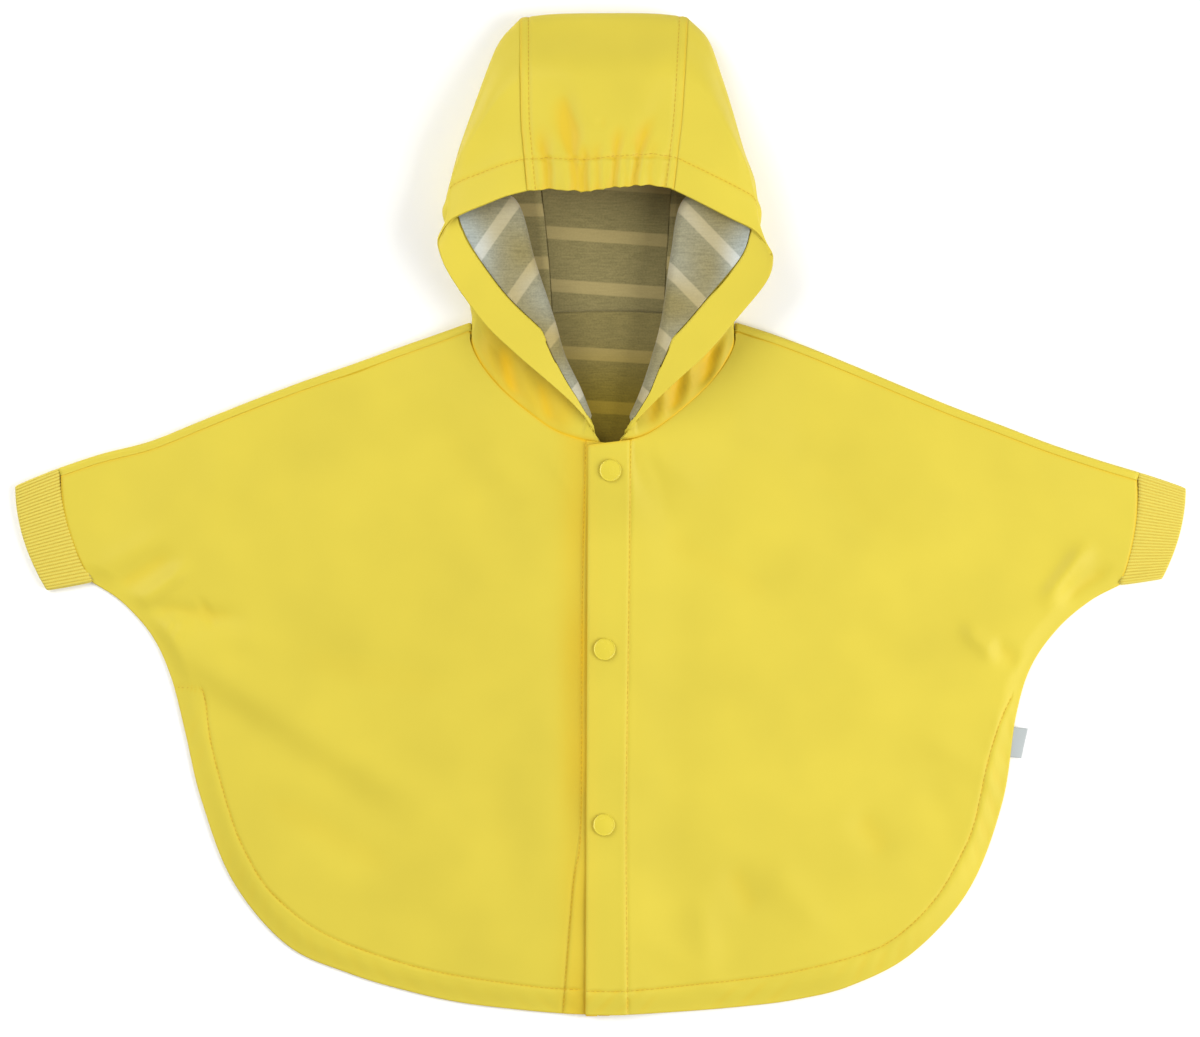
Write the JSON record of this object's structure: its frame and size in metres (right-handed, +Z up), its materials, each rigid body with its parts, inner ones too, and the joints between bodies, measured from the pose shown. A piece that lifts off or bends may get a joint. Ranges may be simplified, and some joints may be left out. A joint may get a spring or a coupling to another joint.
{
  "type": "rain cape",
  "caption": "Small child's hooded rain cape in yellow coated cloth, laid flat on its back, with rib-knit cuffs, a snap front and an elastic-gathered hood with a striped jersey lining.",
  "frame": {"origin": "centre of the bounding box in plan, on the table top", "axes": "+X towards the viewer's right sleeve, +Y towards the hood, +Z up from the table"},
  "size_m": [0.7012, 0.5989, 0.0433],
  "materials": {
    "coated_cloth": "soft matt coated woven cloth",
    "jersey": "brushed heather jersey with pale stripes",
    "rib_knit": "rib knit",
    "snap": "glossy moulded",
    "tape": "woven tape"
  },
  "bodies": {
    "root": {"back": "coated_cloth", "front_left": "coated_cloth", "front_right": "coated_cloth", "hood_side_left": "coated_cloth", "hood_side_right": "coated_cloth", "hood_centre": "coated_cloth", "hood_facing": "coated_cloth", "lining_hood_left": "jersey", "lining_hood_right": "jersey", "lining_hood_centre": "jersey", "lining_back_neck": "jersey", "cuff_left": "rib_knit", "cuff_right": "rib_knit", "snap_cap_top": "snap", "snap_cap_middle": "snap", "snap_cap_low": "snap", "side_label": "tape"}
  },
  "joints": []
}
